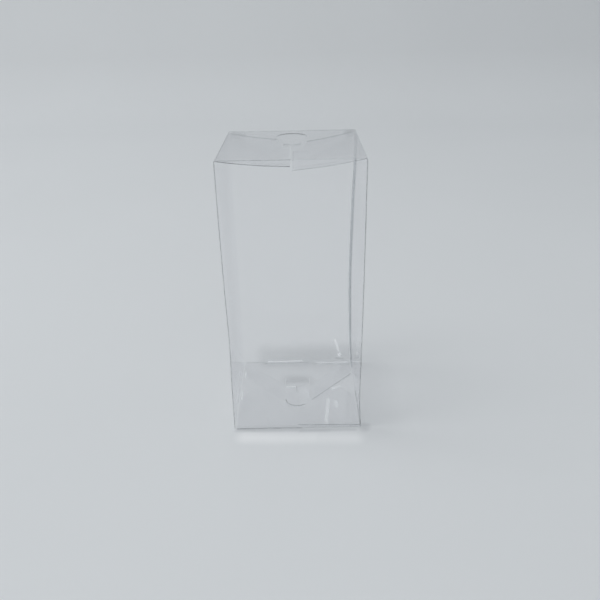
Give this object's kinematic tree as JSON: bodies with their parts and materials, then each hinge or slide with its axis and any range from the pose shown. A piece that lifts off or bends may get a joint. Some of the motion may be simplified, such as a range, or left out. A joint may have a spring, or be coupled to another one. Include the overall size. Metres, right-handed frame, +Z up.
{
  "type": "clear film carton",
  "caption": "Tall square carton folded from one sheet of clear film, with a tuck-in lid, dust flaps, a thumb notch and a hook-lock bottom.",
  "frame": {"origin": "middle of the base, on the surface that the carton stands on", "axes": "+Z up, -Y out of the front wall that the lid is creased to, +X to the right seen from the front"},
  "size_m": [0.08, 0.08, 0.17],
  "materials": {
    "clear_film": "thin clear glossy film with a faint blue-grey tint, bright creases and darker cut edges",
    "lid_film": "the same clear film, seen over the dust flaps, so a little greyer"
  },
  "bodies": {
    "carton": {"carton": "clear_film"},
    "lid": {"lid": "lid_film"}
  },
  "joints": [
    {"name": "lid_hinge", "type": "hinge", "parent": "carton", "child": "lid", "pos_m": [0, -0.03985, 0.16985], "axis": [1, 0, 0], "range_deg": [0, 180]}
  ]
}
